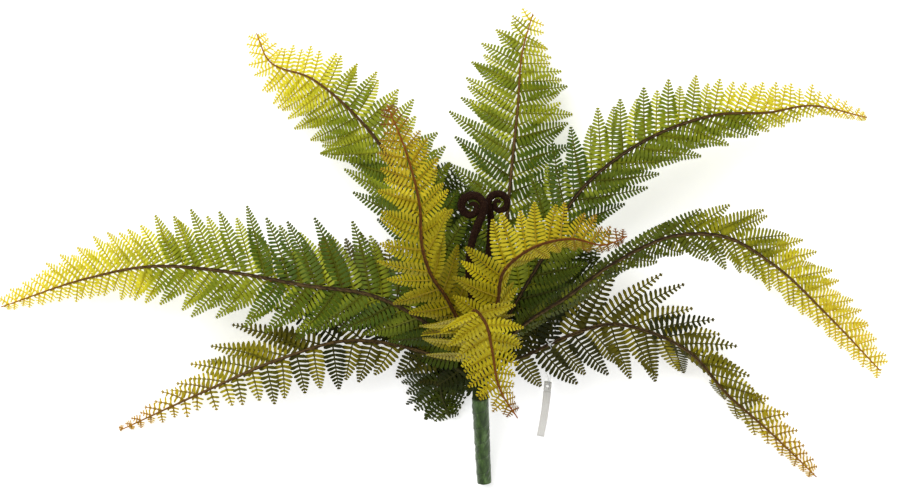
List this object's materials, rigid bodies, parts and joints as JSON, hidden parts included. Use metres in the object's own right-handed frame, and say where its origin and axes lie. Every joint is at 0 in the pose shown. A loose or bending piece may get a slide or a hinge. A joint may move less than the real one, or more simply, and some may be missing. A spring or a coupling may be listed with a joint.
{
  "type": "artificial fern bush",
  "caption": "Artificial fern bush with arching toothed fronds and rolled fiddleheads bound into a short taped stem, laid flat with a blank hang tag on a nylon loop.",
  "frame": {"origin": "middle of the underside of the bounding box, on the surface that the bush lies on", "axes": "+Z away from the surface; +X along the widest spread, towards the right-hand fronds; the stem's cut end points to -Y"},
  "size_m": [0.7724, 0.4114, 0.1983],
  "materials": {
    "stem_core": "cut green plastic",
    "stem_tape": "wound green floral tape, satin",
    "frond_stalk": "brown moulded plastic over wire, powdery",
    "green_blade": "moulded leaf, green running to yellow at the tip, matt",
    "dark_green_blade": "moulded leaf, dark green, matt",
    "olive_blade": "moulded leaf, dark olive running to yellow with brown edges, matt",
    "yellow_blade": "moulded leaf, mustard yellow, matt",
    "fiddlehead_flock": "dark brown flock with fine pale specks",
    "tag_card": "plain white card, slightly warm",
    "nylon": "clear nylon"
  },
  "bodies": {
    "root": {"stem_core": "stem_core", "stem_tape": "stem_tape", "left_long_frond_stalk": "frond_stalk", "left_long_frond_blade": "green_blade", "lower_left_frond_stalk": "frond_stalk", "lower_left_frond_blade": "olive_blade", "upper_left_frond_stalk": "frond_stalk", "upper_left_frond_blade": "green_blade", "yellow_left_frond_stalk": "frond_stalk", "yellow_left_frond_blade": "yellow_blade", "top_frond_stalk": "frond_stalk", "top_frond_blade": "green_blade", "upper_right_frond_stalk": "frond_stalk", "upper_right_frond_blade": "green_blade", "right_arch_frond_stalk": "frond_stalk", "right_arch_frond_blade": "green_blade", "lower_right_frond_stalk": "frond_stalk", "lower_right_frond_blade": "olive_blade", "yellow_right_frond_stalk": "frond_stalk", "yellow_right_frond_blade": "yellow_blade", "yellow_front_frond_stalk": "frond_stalk", "yellow_front_frond_blade": "yellow_blade", "back_left_frond_stalk": "frond_stalk", "back_left_frond_blade": "olive_blade", "small_low_frond_stalk": "frond_stalk", "small_low_frond_blade": "dark_green_blade", "back_top_frond_stalk": "frond_stalk", "back_top_frond_blade": "dark_green_blade", "back_right_frond_stalk": "frond_stalk", "back_right_frond_blade": "dark_green_blade", "left_fiddlehead": "fiddlehead_flock", "right_fiddlehead": "fiddlehead_flock", "hang_tag": "tag_card", "tag_loop": "nylon"}
  },
  "joints": []
}
